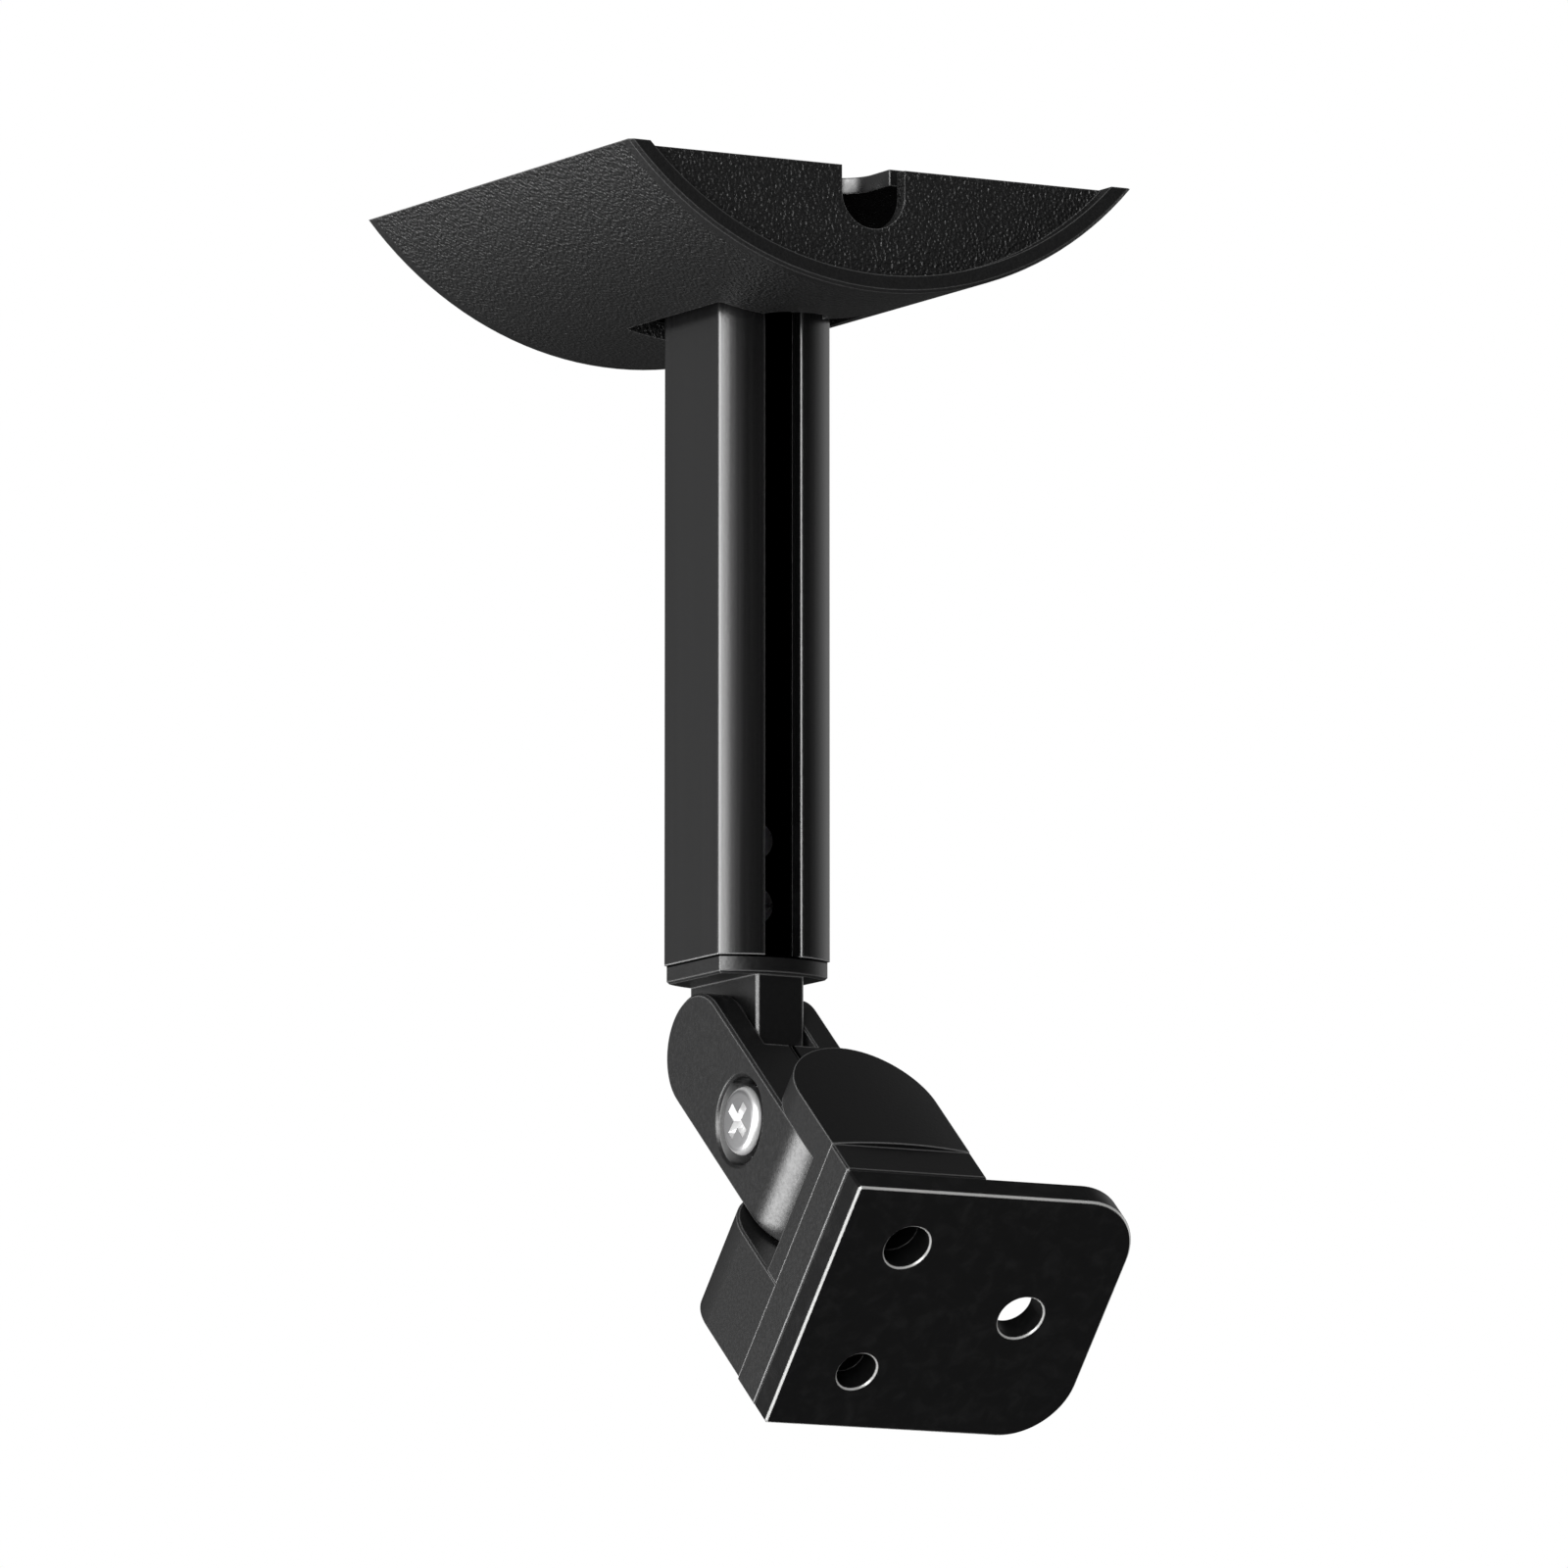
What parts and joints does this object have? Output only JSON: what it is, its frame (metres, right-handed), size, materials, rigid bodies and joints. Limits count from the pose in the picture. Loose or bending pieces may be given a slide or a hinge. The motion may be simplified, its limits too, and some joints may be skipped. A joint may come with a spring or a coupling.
{
  "type": "speaker wall bracket",
  "caption": "Ceiling or wall arm for a small loudspeaker, with a sliding base cover, a clamped tilt and swivel joint and a drilled speaker plate.",
  "frame": {"origin": "middle of the fixing face that lies against the ceiling or wall, on the arm's centre line", "axes": "+Z out of the bracket into the ceiling or wall, X across the arm's two flats, -Y towards the arm's cable slot"},
  "size_m": [0.0706, 0.0774, 0.1534],
  "materials": {
    "cover_plastic": "black, fine leather grain",
    "plate_steel": "black satin powder coat on steel",
    "arm_aluminium": "black satin anodised",
    "joint_casting": "black satin powder coat on die casting",
    "speaker_plate_finish": "black satin powder coat",
    "screw_steel": "bright zinc",
    "spring_steel": "plain spring steel",
    "friction_disc": "natural, low-friction"
  },
  "bodies": {
    "base": {"base_plate": "plate_steel", "arm": "arm_aluminium", "arm_cap": "joint_casting", "arm_screw_left": "screw_steel", "arm_screw_right": "screw_steel", "cap_screw_lower": "screw_steel", "cap_screw_upper": "screw_steel"},
    "cover": {"base_cover": "cover_plastic"},
    "knuckle": {"knuckle_left": "joint_casting", "knuckle_right": "joint_casting", "tilt_pin": "screw_steel", "tilt_washer_left": "friction_disc", "tilt_washer_right": "friction_disc", "clamp_screw": "screw_steel", "clamp_washer": "screw_steel", "clamp_nut": "screw_steel"},
    "head": {"swivel_yoke": "joint_casting", "speaker_plate": "speaker_plate_finish", "plate_screw_left": "screw_steel", "plate_screw_right": "screw_steel", "swivel_pin": "screw_steel", "swivel_washer": "friction_disc", "swivel_spring": "spring_steel"}
  },
  "joints": [
    {"name": "cover_slide", "type": "slide", "parent": "base", "child": "cover", "axis": [0, 0, -1], "range_m": [0, 0.05]},
    {"name": "tilt", "type": "hinge", "parent": "base", "child": "knuckle", "pos_m": [0, 0, -0.1062], "axis": [1, 0, 0], "range_deg": [-31, 129]},
    {"name": "swivel", "type": "hinge", "parent": "knuckle", "child": "head", "pos_m": [0, -0.02075, -0.12424], "axis": [0, 0.6561, -0.7547], "range_deg": [-80, 80]}
  ]
}
